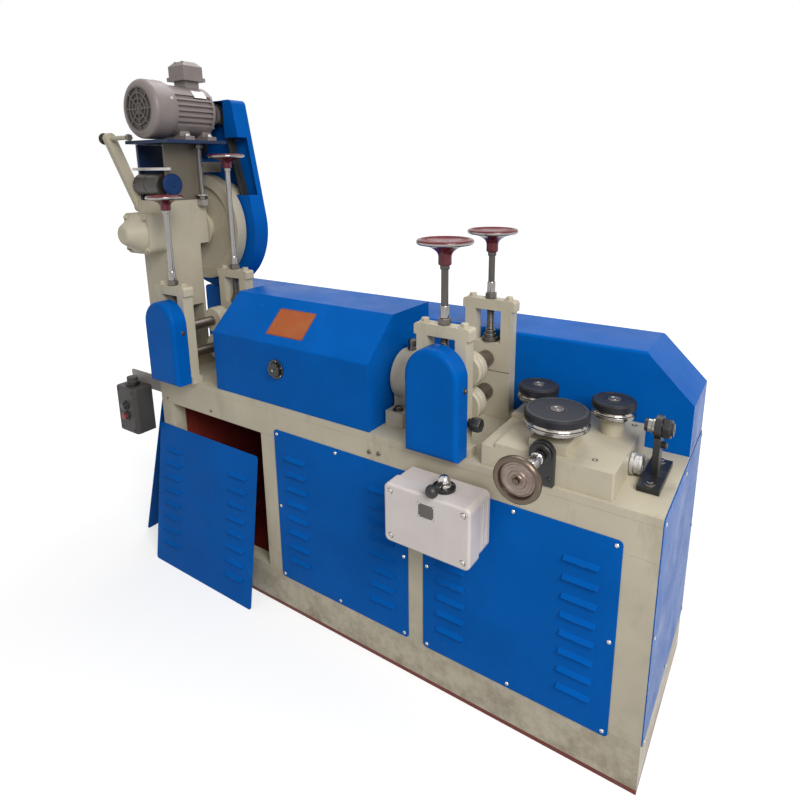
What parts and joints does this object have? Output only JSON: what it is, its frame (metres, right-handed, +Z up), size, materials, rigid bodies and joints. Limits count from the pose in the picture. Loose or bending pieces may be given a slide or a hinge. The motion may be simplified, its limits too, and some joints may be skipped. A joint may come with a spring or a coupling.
{
  "type": "wire straightening and cutting machine",
  "caption": "Wire straightening and cutting machine: louvred cabinet and bed with an entry roller block, roll feeds, a hooded straightening drum and a motor-driven crank press.",
  "frame": {"origin": "on the floor, below the middle of the machine's bounding box", "axes": "+X along the machine towards the wire inlet, -Y towards the operator's front, +Z up"},
  "size_m": [2.1405, 0.7444, 1.918],
  "materials": {
    "cream_paint": "semi-gloss machine paint, worn",
    "blue_paint": "gloss enamel on sheet",
    "grey_paint": "satin paint",
    "steel": "ground steel",
    "maroon_wheel": "gloss bakelite-like dish with a bright rim",
    "chrome": "polished",
    "black_paint": "black oxide and paint",
    "white_plastic": "moulded",
    "rubber": "V-belt"
  },
  "bodies": {
    "machine": {"bed_plate": "cream_paint", "belt_case": "blue_paint", "belts": "rubber", "cabinet_end_rails": "cream_paint", "cabinet_long_rails": "cream_paint", "cabinet_posts": "cream_paint", "control_box": "white_plastic", "cutter": "steel", "drum_bearing_left": "cream_paint", "drum_bearing_right": "cream_paint", "feed_left_guard": "blue_paint", "feed_left_stand_front": "cream_paint", "feed_left_stand_rear": "cream_paint", "feed_right_guard": "blue_paint", "feed_right_stand_front": "cream_paint", "feed_right_stand_rear": "cream_paint", "hood": "blue_paint", "hood_knob": "black_paint", "motor": "grey_paint", "motor_cheeks": "blue_paint", "motor_plate": "grey_paint", "motor_strut": "cream_paint", "motor_stud": "grey_paint", "panel_front_middle": "blue_paint", "panel_front_right": "blue_paint", "panel_loose_end": "blue_paint", "panel_loose_front": "blue_paint", "panel_right_end": "blue_paint", "panels_rear": "blue_paint", "press_column": "cream_paint", "press_crank_cap": "cream_paint", "press_shelf": "cream_paint", "rear_cover": "blue_paint", "roller_block": "cream_paint", "slide_bracket": "black_paint", "starter_arm": "grey_paint", "starter_box": "grey_paint", "wire_guide": "black_paint"},
    "flywheel": {"flywheel": "cream_paint"},
    "roller_slide": {"roller_slide": "cream_paint"},
    "roller_front": {"roller_front": "steel"},
    "roller_rear_left": {"roller_rear_left": "steel"},
    "roller_rear_right": {"roller_rear_right": "steel"},
    "slide_handwheel": {"slide_handwheel": "chrome"},
    "control_lever": {"control_lever": "black_paint"},
    "feed_right_roll_upper": {"feed_right_roll_upper": "steel"},
    "feed_right_roll_lower": {"feed_right_roll_lower": "steel"},
    "feed_right_screw_front": {"feed_right_screw_front": "maroon_wheel"},
    "feed_right_screw_rear": {"feed_right_screw_rear": "maroon_wheel"},
    "feed_left_roll_upper": {"feed_left_roll_upper": "steel"},
    "feed_left_roll_lower": {"feed_left_roll_lower": "steel"},
    "feed_left_screw_front": {"feed_left_screw_front": "maroon_wheel"},
    "feed_left_screw_rear": {"feed_left_screw_rear": "maroon_wheel"}
  },
  "joints": [
    {"name": "flywheel_spin", "type": "hinge", "parent": "machine", "child": "flywheel", "pos_m": [-0.81625, 0.06575, 1.294], "axis": [0, 1, 0], "continuous": true},
    {"name": "feed_right_lower_spin", "type": "hinge", "parent": "machine", "child": "feed_right_roll_lower", "pos_m": [0.49075, -0.03425, 0.8525], "axis": [0, 1, 0], "continuous": true},
    {"name": "feed_right_upper_spin", "type": "hinge", "parent": "machine", "child": "feed_right_roll_upper", "pos_m": [0.49075, -0.03425, 0.9575], "axis": [0, 1, 0], "continuous": true},
    {"name": "feed_right_screw_front_turn", "type": "hinge", "parent": "machine", "child": "feed_right_screw_front", "pos_m": [0.49075, -0.17425, 1.09], "axis": [0, 0, 1], "range_deg": [-360, 360]},
    {"name": "feed_right_screw_rear_turn", "type": "hinge", "parent": "machine", "child": "feed_right_screw_rear", "pos_m": [0.49075, 0.10575, 1.108], "axis": [0, 0, 1], "range_deg": [-360, 360]},
    {"name": "feed_left_lower_spin", "type": "hinge", "parent": "machine", "child": "feed_left_roll_lower", "pos_m": [-0.60425, -0.03425, 0.8525], "axis": [0, 1, 0], "continuous": true},
    {"name": "feed_left_upper_spin", "type": "hinge", "parent": "machine", "child": "feed_left_roll_upper", "pos_m": [-0.60425, -0.03425, 0.9575], "axis": [0, 1, 0], "continuous": true},
    {"name": "feed_left_screw_front_turn", "type": "hinge", "parent": "machine", "child": "feed_left_screw_front", "pos_m": [-0.60425, -0.21225, 1.09], "axis": [0, 0, 1], "range_deg": [-360, 360]},
    {"name": "feed_left_screw_rear_turn", "type": "hinge", "parent": "machine", "child": "feed_left_screw_rear", "pos_m": [-0.60425, 0.06975, 1.108], "axis": [0, 0, 1], "range_deg": [-360, 360]},
    {"name": "slide_handwheel_turn", "type": "hinge", "parent": "machine", "child": "slide_handwheel", "pos_m": [0.78575, -0.21425, 0.8513], "axis": [0, 1, 0], "range_deg": [-1080, 1080]},
    {"name": "roller_slide_travel", "type": "slide", "parent": "machine", "child": "roller_slide", "axis": [0, 1, 0], "range_m": [-0.01501, 0.01501]},
    {"name": "roller_front_spin", "type": "hinge", "parent": "roller_slide", "child": "roller_front", "pos_m": [0.78575, -0.11875, 0.93], "axis": [0, 0, 1], "continuous": true},
    {"name": "roller_rear_left_spin", "type": "hinge", "parent": "machine", "child": "roller_rear_left", "pos_m": [0.68275, 0.02425, 0.93], "axis": [0, 0, 1], "continuous": true},
    {"name": "roller_rear_right_spin", "type": "hinge", "parent": "machine", "child": "roller_rear_right", "pos_m": [0.88875, 0.02425, 0.93], "axis": [0, 0, 1], "continuous": true},
    {"name": "control_lever_turn", "type": "hinge", "parent": "machine", "child": "control_lever", "pos_m": [0.55775, -0.28825, 0.72], "axis": [0, 0, 1], "range_deg": [-45, 45]}
  ],
  "couplings": [
    {"joint": "feed_right_upper_spin", "follows": "feed_right_lower_spin", "ratio": -1},
    {"joint": "feed_left_upper_spin", "follows": "feed_left_lower_spin", "ratio": -1},
    {"joint": "roller_slide_travel", "follows": "slide_handwheel_turn", "m_per_rad": 0.00079577}
  ]
}
